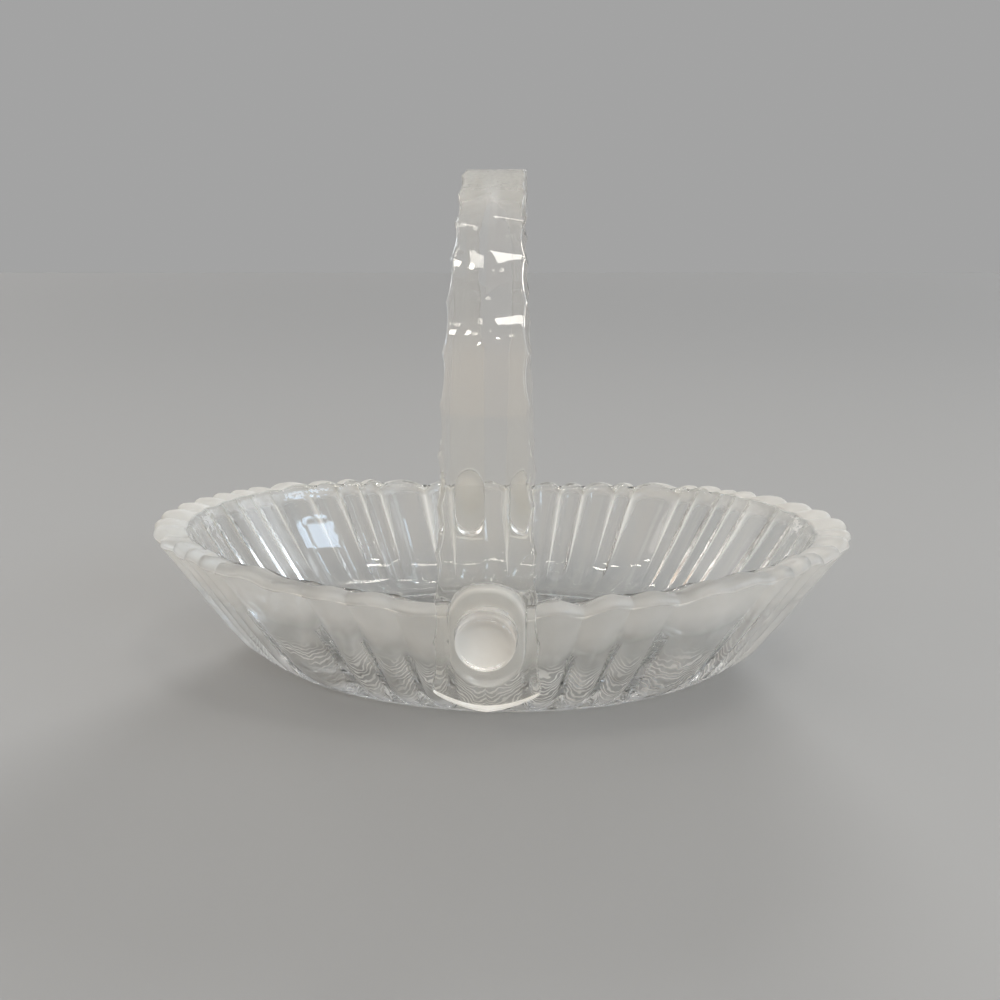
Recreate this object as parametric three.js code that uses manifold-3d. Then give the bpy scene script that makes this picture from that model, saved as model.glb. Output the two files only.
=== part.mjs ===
import * as THREE from 'three';
import { mergeVertices } from 'three/addons/utils/BufferGeometryUtils.js';
import Module from 'manifold-3d';

// Oval basket: a fluted pressed-glass bowl, a clear acrylic strap handle that arches over
// its short axis, and two round pegs on which the handle turns.
// Millimetres, +Z up. The origin lies on the table under the middle of the bowl, +X points
// to one tip of the oval, and the front peg is on the -Y side.

// Bowl: half-axes of the rim and foot, heights, lip and floor
const RIM_HALF_LENGTH = 150;
const RIM_HALF_WIDTH = 81;
const RIM_HEIGHT = 55.5;
const RIM_RISE = 5.9;
const LIP_AT_TIPS = 19;
const LIP_AT_SIDES = 8.4;
const LIP_UPTURN = 0.12;
const LIP_ROUND = 3.5;
const FOOT_HALF_LENGTH = 101;
const FOOT_HALF_WIDTH = 54.9;
const FOOT_ROUND = 1.2;
const FOOT_RING = 7;
const FOOT_RECESS = 1.5;
const FLOOR_THICKNESS = 9;
const FLOOR_INSET_AT_TIPS = 15;
const FLOOR_INSET_AT_SIDES = 11;
const HOLLOW_POWER = 2.5;

// Flutes: depth, how full a narrow one is, how round they are on the wall and at the lip, where
// the tongues end, and their rhythm from the handle pad to the tip, as shares of that quarter
const FLUTE_DEPTH = 3.2;
const FLUTE_FULLNESS = 0.25;
const FLUTE_ROUNDING_ON_WALL = 1.5;
const FLUTE_ROUNDING_AT_LIP = 0.75;
const TONGUE_HEIGHT = 16;
const TONGUE_ROUND = 13;
const LOBE_RISE = 3;
const PETAL_SWELL = 1.2;
const FRONT_LOBES = 0.5;
const TIP_LOBE_DEGREES = 10;
const FRONT_FLUTES = [7, 7, 7, 18, 5, 5, 5, 9, 8, 8];
const BACK_RIGHT_FLUTES = [6, 5, 7, 4, 11, 4, 6, 4, 5, 10, 9, 8];
const BACK_LEFT_FLUTES = [11, 10, 4.5, 5.5, 7, 10, 6, 5, 6, 7, 7];

// Handle pads on the two long sides
const PAD_WIDTH = 25.4;
const PAD_ABOVE_PEG = 16.4;
const PAD_BELOW_PEG = 20.6;
const PAD_STAND = 0.6;
const PAD_ROUND = 1.2;
const PAD_MARGIN = 3.4;

// Pegs cemented into the pads
const PEG_DIAMETER = 20.4;
const PEG_BELOW_RIM = 6.8;
const PEG_PROUD = 5.2;
const PEG_ROUND = 2.2;
const PEG_DOME = 1.2;
const SPIGOT_DIAMETER = 12;
const SPIGOT_LENGTH = 5;
const CEMENT_GAP = 0.3;

// Strap handle
const STRAP_WIDTH_AT_CREST = 22.9;
const STRAP_WIDTH_AT_END = 39.1;
const STRAP_EDGE = 3.2;
const STRAP_RIDGE = 6;
const FACET_HOLLOW = 0.3;
const FLAT_CREST = 18;
const FULL_RIDGE = 56;
const TAPER_START = 65;
const BUMP_PITCH = 16.2;
const SCALLOP_DEPTH = 1;
const ARCH_ABOVE_PEG = 66.1;
const END_BELOW_PEG = 20.9;
const END_BOW = 6.1;
const LEG_CLEARANCE = 0.3;
const HOLE_CLEARANCE = 0.5;

// Fineness of the facets
const STEPS_PER_FLUTE = 4;
const WALL_ROWS = 7;
const LIP_ROWS = 3;
const TOP_ROWS = 2;
const PLUNGER_COLUMNS = 84;
const PLUNGER_ROWS = 8;
const STEPS_PER_BUMP = 4;
const ROUND_SEGMENTS = 36;
const CORNER_SEGMENTS = 3;

const pegHeight = RIM_HEIGHT - PEG_BELOW_RIM;
const padFace = RIM_HALF_WIDTH + PAD_STAND;
const padTop = pegHeight + PAD_ABOVE_PEG;
const legInnerFace = padFace + LEG_CLEARANCE;
const archRadius = legInnerFace + STRAP_RIDGE / 2;
const archHeight = pegHeight + ARCH_ABOVE_PEG;
const pegFront = legInnerFace + STRAP_RIDGE + PEG_PROUD;
const cutMargin = 5;

const lerp = THREE.MathUtils.lerp;
const wasm = await Module();
wasm.setup();

function toManifold(geometry) {
  const bare = geometry.clone();
  bare.deleteAttribute('normal');
  bare.deleteAttribute('uv');
  const merged = mergeVertices(bare, 1e-4);
  return new wasm.Manifold(new wasm.Mesh({
    numProp: 3,
    vertProperties: new Float32Array(merged.attributes.position.array),
    triVerts: new Uint32Array(merged.index.array),
  }));
}

function toGeometry(solid) {
  const mesh = solid.getMesh();
  const geometry = new THREE.BufferGeometry();
  geometry.setAttribute('position', new THREE.BufferAttribute(mesh.vertProperties, 3));
  geometry.setIndex(new THREE.BufferAttribute(mesh.triVerts, 1));
  geometry.computeVertexNormals();
  return geometry;
}

// A closed body from rings of equal count, which run anticlockwise seen from the last ring's
// side, with a point closing each end.
function ringBody(firstPoint, rings, lastPoint) {
  const count = rings[0].length;
  const points = [firstPoint, ...rings.flat(), lastPoint];
  const index = [];
  const at = (row, column) => 1 + row * count + (column % count);
  for (let column = 0; column < count; column += 1) {
    index.push(0, at(0, column + 1), at(0, column));
    for (let row = 0; row + 1 < rings.length; row += 1) {
      index.push(at(row, column), at(row, column + 1), at(row + 1, column + 1));
      index.push(at(row, column), at(row + 1, column + 1), at(row + 1, column));
    }
    index.push(points.length - 1, at(rings.length - 1, column), at(rings.length - 1, column + 1));
  }
  const geometry = new THREE.BufferGeometry().setFromPoints(points);
  geometry.setIndex(index);
  return geometry;
}

// A point on an oval at the oval's own angle, pushed outward square to the oval.
function ovalPoint(angle, halfLength, halfWidth, height, outward = 0) {
  const normal = new THREE.Vector2(Math.cos(angle) * halfWidth, Math.sin(angle) * halfLength).normalize();
  return new THREE.Vector3(
    halfLength * Math.cos(angle) + normal.x * outward,
    halfWidth * Math.sin(angle) + normal.y * outward,
    height,
  );
}

// The flutes in order round the bowl, each with its two edges as angles of the oval.
function layOutFlutes() {
  const padHalf = Math.PI / 2 - Math.acos((PAD_WIDTH / 2 + PAD_MARGIN) / RIM_HALF_LENGTH);
  const tipHalf = THREE.MathUtils.degToRad(TIP_LOBE_DEGREES) / 2;
  const quarter = Math.PI / 2 - padHalf - tipHalf;
  const spread = (shares) => {
    const total = shares.reduce((sum, share) => sum + share, 0);
    return shares.map((share) => (share / total) * quarter);
  };
  const widths = [
    2 * tipHalf,
    ...spread(BACK_RIGHT_FLUTES).reverse(),
    2 * padHalf,
    ...spread(BACK_LEFT_FLUTES),
    2 * tipHalf,
    ...spread(FRONT_FLUTES).reverse(),
    2 * padHalf,
    ...spread(FRONT_FLUTES),
  ];
  let edge = -tipHalf;
  return widths.map((width) => {
    const flute = { start: edge, width };
    edge += width;
    return flute;
  });
}

// One column of the bowl for each step across each flute: its angle, its place across the
// flute from -1 to 1, and how far the flute stands out.
function bowlColumns() {
  return layOutFlutes().flatMap(({ start, width }) => {
    const middle = start + width / 2;
    const reach = Math.hypot(RIM_HALF_LENGTH * Math.sin(middle), RIM_HALF_WIDTH * Math.cos(middle));
    const depth = Math.min(FLUTE_DEPTH, FLUTE_FULLNESS * width * reach);
    return Array.from({ length: STEPS_PER_FLUTE }, (_, step) => ({
      angle: start + (width * step) / STEPS_PER_FLUTE,
      across: -1 + (2 * step) / STEPS_PER_FLUTE,
      depth,
    }));
  });
}

// Rounded form of a flute: 1 on its crest, 0 in the groove and past the end of its tongue.
function lobe(across, pastEnd = 0, rounding = FLUTE_ROUNDING_AT_LIP) {
  return Math.max(0, 1 - across * across - pastEnd * pastEnd) ** rounding;
}

const rimHeightAt = (angle) => RIM_HEIGHT + RIM_RISE * (1 - Math.sin(angle) ** 6);
const lipWidthAt = (angle) => lerp(LIP_AT_SIDES, LIP_AT_TIPS, Math.cos(angle) ** 2);
const lipEdgeAt = (angle) => rimHeightAt(angle) + LIP_UPTURN * lipWidthAt(angle);
// The lobes of the lip are full at the back and the tips, and lower along the front.
const lobesAt = (angle) => lerp(1, FRONT_LOBES, THREE.MathUtils.clamp(-2 * Math.sin(angle), 0, 1));

// Outside of the bowl as the mould gives it, still solid within.
function mouldedBody() {
  const columns = bowlColumns();
  const grooveHalfLength = RIM_HALF_LENGTH - FLUTE_DEPTH;
  const grooveHalfWidth = RIM_HALF_WIDTH - FLUTE_DEPTH;
  const ring = (place) => columns.map(place);
  const footRing = (inset, height) => ring(({ angle }) => (
    ovalPoint(angle, FOOT_HALF_LENGTH - inset, FOOT_HALF_WIDTH - inset, height)));
  const rings = [
    footRing(FOOT_RING, FOOT_RECESS),
    footRing(FOOT_RING, 0),
    footRing(FOOT_ROUND, 0),
  ];

  // Wall: spread from the foot towards the rim against share of the height
  const wall = new THREE.CubicBezierCurve(
    new THREE.Vector2(0, 0.018),
    new THREE.Vector2(0.21, 0.018),
    new THREE.Vector2(0.73, 0.69),
    new THREE.Vector2(0.93, 0.885),
  );
  for (const { x: spread, y: share } of wall.getPoints(WALL_ROWS)) {
    const rounding = lerp(FLUTE_ROUNDING_AT_LIP, FLUTE_ROUNDING_ON_WALL, Math.sin(Math.PI * share));
    rings.push(ring(({ angle, across, depth }) => {
      const height = share * lipEdgeAt(angle);
      const pastEnd = Math.max(0, TONGUE_HEIGHT - height) / TONGUE_ROUND;
      return ovalPoint(
        angle,
        lerp(FOOT_HALF_LENGTH, grooveHalfLength, spread),
        lerp(FOOT_HALF_WIDTH, grooveHalfWidth, spread),
        height,
        depth * lobe(across, pastEnd, rounding) * lerp(1, lobesAt(angle), share ** 3),
      );
    }));
  }

  // Rounded outer edge of the lip, each flute a convex lobe
  const stand = ({ angle, across, depth }) => depth * lobesAt(angle) * lobe(across);
  const drop = ({ angle, across, depth }) => (
    (LOBE_RISE / FLUTE_DEPTH) * depth * lobesAt(angle) * (1 - lobe(across)));
  for (let row = 0; row <= LIP_ROWS; row += 1) {
    const turn = (Math.PI / 2) * (row / LIP_ROWS);
    rings.push(ring((column) => ovalPoint(
      column.angle,
      grooveHalfLength,
      grooveHalfWidth,
      lipEdgeAt(column.angle) - LIP_ROUND * (1 - Math.sin(turn)) - drop(column),
      stand(column) - LIP_ROUND * (1 - Math.cos(turn)),
    )));
  }

  // Top of the lip, swelling to a petal at each lobe, and running a little past the mouth
  for (let row = 1; row <= TOP_ROWS; row += 1) {
    const share = row / TOP_ROWS;
    rings.push(ring((column) => {
      const { angle } = column;
      const inset = lerp(LIP_ROUND, lipWidthAt(angle) - FLUTE_DEPTH + LIP_ROUND, share);
      const level = lerp(lipEdgeAt(angle), rimHeightAt(angle), share);
      const swell = (PETAL_SWELL / FLUTE_DEPTH) * stand(column) * 4 * share * (1 - share);
      const height = level + swell - drop(column) * (1 - share ** 3);
      return ovalPoint(angle, grooveHalfLength, grooveHalfWidth, height, stand(column) * (1 - share) - inset);
    }));
  }
  const underside = new THREE.Vector3(0, 0, FOOT_RECESS);
  const topMiddle = new THREE.Vector3(0, 0, RIM_HEIGHT);
  return toManifold(ringBody(underside, rings, topMiddle));
}

// The smooth plunger that presses the hollow; it runs on above the rim and the pads.
function plunger() {
  const floorHalfLength = FOOT_HALF_LENGTH - FLOOR_INSET_AT_TIPS;
  const floorHalfWidth = FOOT_HALF_WIDTH - FLOOR_INSET_AT_SIDES;
  const mouthHalfLength = RIM_HALF_LENGTH - LIP_AT_TIPS;
  const mouthHalfWidth = RIM_HALF_WIDTH - LIP_AT_SIDES;
  const top = (padTop + cutMargin - FLOOR_THICKNESS) / (RIM_HEIGHT - FLOOR_THICKNESS);
  const spreads = Array.from({ length: PLUNGER_ROWS + 1 }, (_, row) => row / PLUNGER_ROWS);
  spreads.push(top ** (1 / HOLLOW_POWER));
  const angles = Array.from({ length: PLUNGER_COLUMNS }, (_, k) => (2 * Math.PI * k) / PLUNGER_COLUMNS);
  const rings = spreads.map((spread) => angles.map((angle) => ovalPoint(
    angle,
    lerp(floorHalfLength, mouthHalfLength, spread),
    lerp(floorHalfWidth, mouthHalfWidth, spread),
    lerp(FLOOR_THICKNESS, RIM_HEIGHT, spread ** HOLLOW_POWER),
  )));
  const floorMiddle = new THREE.Vector3(0, 0, FLOOR_THICKNESS);
  const topMiddle = new THREE.Vector3(0, 0, padTop + cutMargin);
  return toManifold(ringBody(floorMiddle, rings, topMiddle));
}

// Pad with round ends, standing out of the wall on the side given by facing (-1 front, 1 back).
function pad(facing) {
  const half = PAD_WIDTH / 2 - PAD_ROUND;
  const upper = padTop - PAD_WIDTH / 2;
  const lower = pegHeight - PAD_BELOW_PEG + PAD_WIDTH / 2;
  const outline = new THREE.Shape();
  outline.absarc(0, upper, half, 0, Math.PI, false);
  outline.absarc(0, lower, half, Math.PI, 2 * Math.PI, false);
  outline.closePath();
  const depth = padFace - FOOT_HALF_WIDTH;
  const geometry = new THREE.ExtrudeGeometry(outline, {
    depth: depth - 2 * PAD_ROUND,
    bevelThickness: PAD_ROUND,
    bevelSize: PAD_ROUND,
    bevelSegments: CORNER_SEGMENTS,
    curveSegments: ROUND_SEGMENTS / 4,
  });
  geometry.translate(0, 0, FOOT_HALF_WIDTH + PAD_ROUND);
  geometry.rotateX(Math.PI / 2);
  if (facing > 0) {
    geometry.rotateZ(Math.PI);
  }
  return toManifold(geometry);
}

function levelCylinder(radius, fromY, toY, height) {
  const geometry = new THREE.CylinderGeometry(radius, radius, Math.abs(toY - fromY), ROUND_SEGMENTS);
  geometry.translate(0, (fromY + toY) / 2, height);
  return toManifold(geometry);
}

function bowlGeometry() {
  const socketRadius = SPIGOT_DIAMETER / 2 + CEMENT_GAP;
  const socketBottom = padFace - SPIGOT_LENGTH - CEMENT_GAP;
  let body = mouldedBody();
  for (const facing of [-1, 1]) {
    body = body.add(pad(facing));
  }
  body = body.subtract(plunger());
  for (const facing of [-1, 1]) {
    const socketMouth = padFace + cutMargin;
    body = body.subtract(levelCylinder(socketRadius, facing * socketBottom, facing * socketMouth, pegHeight));
  }
  return toGeometry(body);
}

// Peg with its spigot, on the +Y side: a turned form about its own axis.
function pegGeometry() {
  const radius = PEG_DIAMETER / 2;
  const profile = [
    new THREE.Vector2(0, padFace - SPIGOT_LENGTH),
    new THREE.Vector2(SPIGOT_DIAMETER / 2, padFace - SPIGOT_LENGTH),
    new THREE.Vector2(SPIGOT_DIAMETER / 2, padFace + CEMENT_GAP),
    new THREE.Vector2(radius, padFace + CEMENT_GAP),
  ];
  for (let step = 0; step <= CORNER_SEGMENTS; step += 1) {
    const turn = (Math.PI / 2) * (step / CORNER_SEGMENTS);
    profile.push(new THREE.Vector2(
      radius - PEG_ROUND * (1 - Math.cos(turn)),
      pegFront - PEG_DOME - PEG_ROUND * (1 - Math.sin(turn)),
    ));
  }
  profile.push(new THREE.Vector2((radius - PEG_ROUND) / 2, pegFront - PEG_DOME / 4));
  profile.push(new THREE.Vector2(0, pegFront));
  return new THREE.LatheGeometry(profile, ROUND_SEGMENTS);
}

// Middle line of the strap by its length from the crest, towards the front when positive:
// a half circle over the bowl and a straight leg down each side.
function strapLine(length) {
  const quarter = (archRadius * Math.PI) / 2;
  const turn = THREE.MathUtils.clamp(length, -quarter, quarter) / archRadius;
  const down = Math.max(0, Math.abs(length) - quarter);
  const outward = new THREE.Vector3(0, -Math.sin(turn), Math.cos(turn));
  const point = outward.clone().multiplyScalar(archRadius);
  point.z += archHeight - down;
  return { point, outward };
}

function strapHalfWidth(length, fullLength) {
  const taper = THREE.MathUtils.clamp((Math.abs(length) - TAPER_START) / (fullLength - TAPER_START), 0, 1);
  const place = Math.abs(length) / BUMP_PITCH + 0.5;
  const between = place - Math.floor(place);
  const scallop = SCALLOP_DEPTH * 4 * between * (1 - between);
  return lerp(STRAP_WIDTH_AT_CREST, STRAP_WIDTH_AT_END, taper) / 2 - scallop;
}

// Strap section: flat inside, two slightly hollow facets meeting in a ridge outside.
// The ridge dies out towards the crest, which is flat on top.
function strapSection(length, fullLength) {
  const half = strapHalfWidth(length, fullLength);
  const { point, outward } = strapLine(length);
  const inner = -STRAP_RIDGE / 2;
  const ridged = THREE.MathUtils.smoothstep(Math.abs(length), FLAT_CREST, FULL_RIDGE);
  const edge = lerp(STRAP_RIDGE, STRAP_EDGE, ridged);
  const facet = (edge + STRAP_RIDGE) / 2 - FACET_HOLLOW * ridged;
  return [
    [half, 0],
    [half, edge],
    [half / 2, facet],
    [0, STRAP_RIDGE],
    [-half / 2, facet],
    [-half, edge],
    [-half, 0],
  ].map(([across, thick]) => (
    point.clone().addScaledVector(outward, inner + thick).setX(across)));
}

// What the bowed cut at the foot of both legs takes away.
function endCut(fullLength) {
  const half = strapHalfWidth(fullLength, fullLength) + SCALLOP_DEPTH;
  const corner = pegHeight - END_BELOW_PEG;
  const radius = (half * half + END_BOW * END_BOW) / (2 * END_BOW);
  const centre = corner - END_BOW + radius;
  const swing = Math.asin(half / radius);
  const wide = half + cutMargin;
  const low = corner - END_BOW - 2 * cutMargin;
  const outline = new THREE.Shape();
  outline.moveTo(-wide, low);
  outline.lineTo(wide, low);
  outline.lineTo(wide, corner);
  outline.absarc(0, centre, radius, -Math.PI / 2 + swing, -Math.PI / 2 - swing, true);
  outline.lineTo(-wide, corner);
  outline.closePath();
  const span = 2 * (archRadius + STRAP_RIDGE + cutMargin);
  const geometry = new THREE.ExtrudeGeometry(outline, { depth: span, bevelEnabled: false, curveSegments: 8 });
  geometry.translate(0, 0, -span / 2);
  geometry.rotateX(Math.PI / 2);
  return toManifold(geometry);
}

function handleGeometry() {
  const legLength = ARCH_ABOVE_PEG + END_BELOW_PEG + END_BOW + cutMargin;
  const fullLength = (archRadius * Math.PI) / 2 + legLength;
  const stepLength = BUMP_PITCH / STEPS_PER_BUMP;
  const steps = Math.floor(fullLength / stepLength);
  const stations = Array.from({ length: 2 * steps + 1 }, (_, k) => (k - steps) * stepLength);
  const rings = stations.map((length) => strapSection(length, fullLength));
  const endPoint = (ring) => ring[0].clone().lerp(ring.at(-1), 0.5).add(ring[3]).multiplyScalar(0.5);
  let strap = toManifold(ringBody(endPoint(rings[0]), rings, endPoint(rings.at(-1))));
  strap = strap.subtract(endCut(fullLength));
  const reach = archRadius + STRAP_RIDGE + cutMargin;
  const hole = levelCylinder(PEG_DIAMETER / 2 + HOLE_CLEARANCE, -reach, reach, pegHeight);
  return toGeometry(strap.subtract(hole));
}

function piece(name, geometry, look) {
  const mesh = new THREE.Mesh(geometry, new THREE.MeshStandardMaterial(look));
  mesh.name = name;
  return mesh;
}

const satinGlass = { color: 0xcfd0cc, roughness: 0.45, metalness: 0 };
const clearGlass = { color: 0xe6e9e6, roughness: 0.06, metalness: 0 };
const clearAcrylic = { color: 0xdfe2dd, roughness: 0.08, metalness: 0 };

const basket = new THREE.Group();
basket.add(piece('glass_bowl', bowlGeometry(), satinGlass));
basket.add(piece('carry_handle', handleGeometry(), clearAcrylic));

const rearPeg = piece('rear_peg', pegGeometry(), clearGlass);
rearPeg.position.z = pegHeight;
const frontPeg = piece('front_peg', pegGeometry(), clearGlass);
frontPeg.position.z = pegHeight;
frontPeg.rotation.z = Math.PI;
basket.add(rearPeg, frontPeg);

export default basket;
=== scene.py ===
import math

import bmesh
import bpy
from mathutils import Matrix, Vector


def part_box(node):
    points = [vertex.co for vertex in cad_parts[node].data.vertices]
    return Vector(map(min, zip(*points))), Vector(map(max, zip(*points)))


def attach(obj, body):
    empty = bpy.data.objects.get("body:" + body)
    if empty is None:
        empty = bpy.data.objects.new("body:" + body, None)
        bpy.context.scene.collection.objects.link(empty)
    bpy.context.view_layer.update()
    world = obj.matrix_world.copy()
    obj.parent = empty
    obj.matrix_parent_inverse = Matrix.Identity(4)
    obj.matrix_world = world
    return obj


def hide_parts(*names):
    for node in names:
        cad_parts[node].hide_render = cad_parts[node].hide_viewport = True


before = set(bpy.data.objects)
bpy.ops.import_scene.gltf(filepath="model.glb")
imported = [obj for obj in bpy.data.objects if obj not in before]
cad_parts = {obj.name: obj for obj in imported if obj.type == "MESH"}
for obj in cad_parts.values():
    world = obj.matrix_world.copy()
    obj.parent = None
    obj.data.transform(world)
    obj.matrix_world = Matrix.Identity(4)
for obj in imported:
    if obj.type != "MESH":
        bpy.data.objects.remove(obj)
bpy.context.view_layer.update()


# The bowl is one piece of pressed glass: a fluted mould gives the outside and the lobed lip, and a smooth
# plunger the hollow. The lip and the upper wall outside are etched to a satin, and the lower wall, the foot
# and the hollow stay clear. A flat pad for the handle is pressed on each long side.

bowl_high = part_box("glass_bowl")[1]
peg_low, peg_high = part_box("front_peg")

RIM_HALF_LENGTH = bowl_high.x
RIM_HALF_WIDTH = 0.081
RIM_HEIGHT = 0.0555
BOWL_SIZES = {
    "Rim Half Length": RIM_HALF_LENGTH,
    "Rim Half Width": RIM_HALF_WIDTH,
    "Rim Height": RIM_HEIGHT,
    "Rim Rise": 0.0059,
    "Lip At Tips": 0.019,
    "Lip At Sides": 0.0084,
    "Lip Upturn": 0.12,
    "Lip Round": 0.0035,
    "Mouth Round": 0.0016,
    "Foot Half Length": 0.101,
    "Foot Half Width": 0.0549,
    "Foot Round": 0.0012,
    "Foot Ring": 0.007,
    "Foot Recess": 0.0015,
    "Recess Draft": 0.0008,
    "Floor Thickness": 0.009,
    "Floor Inset At Tips": 0.015,
    "Floor Inset At Sides": 0.011,
    "Plunger Power": 2.5,
    "Flute Depth": 0.0032,
    "Flute Rounding On Wall": 1.5,
    "Flute Rounding At Lip": 0.75,
    "Tongue Height": 0.016,
    "Tongue Round": 0.013,
    "Lobe Rise": 0.003,
    "Petal Swell": 0.0012,
    "Front Lobes": 0.5,
    "Front Softening": 0.75,
    "Fire Polish": 0.0007,
    "Leaf Count": 18.0,
    "Leaf Depth": 0.0011,
}

# The wall's curve from the foot to the flare, as four guide points: its reach outward and its height
WALL_SPREAD = (0, 0.21, 0.73, 0.93)
WALL_SHARE = (0.018, 0.018, 0.69, 0.885)
MOUTH_TURN = 0.978
LEAST_LIP_FACE = 0.3

# Waves that the fire has left in the rim: how many go round it, and where each starts
RIM_WAVES = ((19, 0), (31, 2), (47, 5))
WAVES_BEHIND = 0.2
WAVES_MORE_IN_FRONT = 0.4
FIRE_PATTERN = 85.0

# Leaves and flower of the underside, as shares of the way from its middle to the ring of the foot
LEAF_START = 0.2
LEAF_LENGTH = 0.74
LEAF_ENDS = (0.92, 0.94)
LEAF_BREADTH = 0.9
LEAF_POINT = 1.3
LEAF_SWELL = 0.6
LEAF_RIB = 0.16
LEAF_RIB_CUT = 0.55
FLOWER_STARTS = (0.03, 0.06)
FLOWER_ENDS = (0.15, 0.18)
FLOWER_HEIGHT = 0.6

# Where the leaves are matt, partly a painted highlight of the light their relief edges catch: across each
# from its rib to past its edge, and from its start to its end
RIB_MATT_AND_GLINT = (0.06, 0.2)
EDGE_MATT_AND_GLINT_STARTS = (0.6, 0.9)
EDGE_MATT_AND_GLINT_ENDS = (1.0, 1.3)
MATT_AND_GLINT_STARTS = (0.2, 0.24)
MATT_AND_GLINT_ENDS = (0.9, 0.94)

# How far over the lip the etching reaches, and how much of it the fire has cleared along the front
ETCHED_AT_SIDES = 0.25
ETCHED_MORE_AT_TIPS = 0.8
ETCHING_FADES = 0.25
CLEARED_IN_FRONT = 0.45

# Flutes from the handle pad to the tip, as shares of that quarter of the rim
FRONT_FLUTES = (7, 7, 7, 18, 5, 5, 5, 9, 8, 8)
BACK_RIGHT_FLUTES = (6, 5, 7, 4, 11, 4, 6, 4, 5, 10, 9, 8)
BACK_LEFT_FLUTES = (11, 10, 4.5, 5.5, 7, 10, 6, 5, 6, 7, 7)
FLUTE_FULLNESS = 0.25
TIP_LOBE = math.radians(10)
STEPS_ACROSS_FLUTE = 12

PAD_WIDTH = 0.0254
PAD_BELOW_PEG = 0.0206
PAD_ROUND = 0.0012
PAD_MARGIN = 0.0034
PAD_END_STEPS = 40
PAD_ROUND_STEPS = 5
PAD_FINISH = {"frosting": 0.85, "groove": 0.0, "matt": 0.3}
peg_height = (peg_low.z + peg_high.z) / 2
pad_face = bowl_high.y
pad_top = bowl_high.z


class Term:
    """A socket in a sum. Arithmetic adds Math nodes to its tree, and node() adds any other node."""

    def __init__(self, tree, socket=None):
        self.tree = tree
        self.socket = socket

    def node(self, kind, settings=None, sockets=None, output=0):
        made = self.tree.nodes.new(kind)
        for name, value in (settings or {}).items():
            if name == "stops":
                for stop, (place, colour) in zip(made.color_ramp.elements, value):
                    stop.position = place
                    stop.color = colour
            else:
                setattr(made, name, value)
        for key, value in (sockets or {}).items():
            for part in value if isinstance(value, list) else [value]:
                if isinstance(part, Term):
                    self.tree.links.new(part.socket, made.inputs[key])
                else:
                    made.inputs[key].default_value = part
        return Term(self.tree, made.outputs[output])

    def beside(self, output):
        return Term(self.tree, self.socket.node.outputs[output])

    def maths(self, operation, *others):
        return self.node("ShaderNodeMath", {"operation": operation}, dict(enumerate((self, *others))))

    def vectors(self, operation, *others, output=0):
        values = dict(enumerate((self, *others)))
        return self.node("ShaderNodeVectorMath", {"operation": operation}, values, output)

    def towards(self, other, share):
        return self.node("ShaderNodeMix", {"data_type": "VECTOR"}, {0: share, 4: self, 5: other}, 1)

    def smooth(self, low, high):
        """0 below low, 1 above high and a soft step between."""
        limits = {"Value": self, "From Min": low, "From Max": high}
        return self.node("ShaderNodeMapRange", {"interpolation_type": "SMOOTHSTEP"}, limits)

    def clipped(self):
        """Held between 0 and 1."""
        return self.maths("MAXIMUM", 0.0).maths("MINIMUM", 1.0)

    def __add__(self, other):
        return self.maths("ADD", other)

    def __sub__(self, other):
        return self.maths("SUBTRACT", other)

    def __rsub__(self, other):
        return self.node("ShaderNodeMath", {"operation": "SUBTRACT"}, {0: other, 1: self})

    def __mul__(self, other):
        return self.maths("MULTIPLY", other)

    def __truediv__(self, other):
        return self.maths("DIVIDE", other)

    def __rtruediv__(self, other):
        return self.node("ShaderNodeMath", {"operation": "DIVIDE"}, {0: other, 1: self})

    def __pow__(self, other):
        return self.maths("POWER", other)

    __radd__ = __add__
    __rmul__ = __mul__


def rule_tree(name, sizes):
    """An empty shape rule: a guide and named sizes go in, and their terms come back with the tree."""
    tree = bpy.data.node_groups.new(name, "GeometryNodeTree")
    tree.interface.new_socket("Guide", in_out="INPUT", socket_type="NodeSocketGeometry")
    for size in sizes:
        tree.interface.new_socket(size, in_out="INPUT", socket_type="NodeSocketFloat")
    tree.interface.new_socket("Shape", in_out="OUTPUT", socket_type="NodeSocketGeometry")
    entry = tree.nodes.new("NodeGroupInput")
    return tree, {socket.name: Term(tree, socket) for socket in entry.outputs}


def close_rule(tree, shapes, material):
    """Joins the shapes of a rule into one closed body with its finish, at the rule's end."""
    seam = 1e-5
    joined = Term(tree).node("GeometryNodeJoinGeometry", sockets={"Geometry": shapes})
    merged = joined.node("GeometryNodeMergeByDistance", sockets={"Geometry": joined, "Distance": seam})
    real = merged.node("GeometryNodeRealizeInstances", sockets={"Geometry": merged})
    finished = real.node("GeometryNodeSetMaterial", sockets={"Geometry": real, "Material": material})
    tree.links.new(finished.socket, tree.nodes.new("NodeGroupOutput").inputs[0])


def plain_mesh(mesh, prepare):
    """The mesh with the modifiers that prepare puts on it, as a plain mesh again."""
    holder = bpy.data.objects.new("holder", mesh)
    bpy.context.scene.collection.objects.link(holder)
    prepare(holder)
    graph = bpy.context.evaluated_depsgraph_get()
    result = bpy.data.meshes.new_from_object(holder.evaluated_get(graph), depsgraph=graph)
    bpy.data.objects.remove(holder)
    return result


def shaped(tree, guide, sizes):
    """The body that a shape rule makes of its guide and sizes."""
    def prepare(holder):
        modifier = holder.modifiers.new(tree.name, "NODES")
        modifier.node_group = tree
        for item in tree.interface.items_tree:
            if item.name in sizes:
                modifier[item.identifier] = sizes[item.name]
    return plain_mesh(guide, prepare)


def combined(mesh, other, operation):
    """The mesh with the other one joined to it (UNION) or cut from it (DIFFERENCE)."""
    tool = bpy.data.objects.new("tool", other)
    bpy.context.scene.collection.objects.link(tool)

    def prepare(holder):
        modifier = holder.modifiers.new("combine", "BOOLEAN")
        modifier.operation = operation
        modifier.solver = "MANIFOLD"
        modifier.object = tool
    result = plain_mesh(mesh, prepare)
    bpy.data.objects.remove(tool)
    return result


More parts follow.
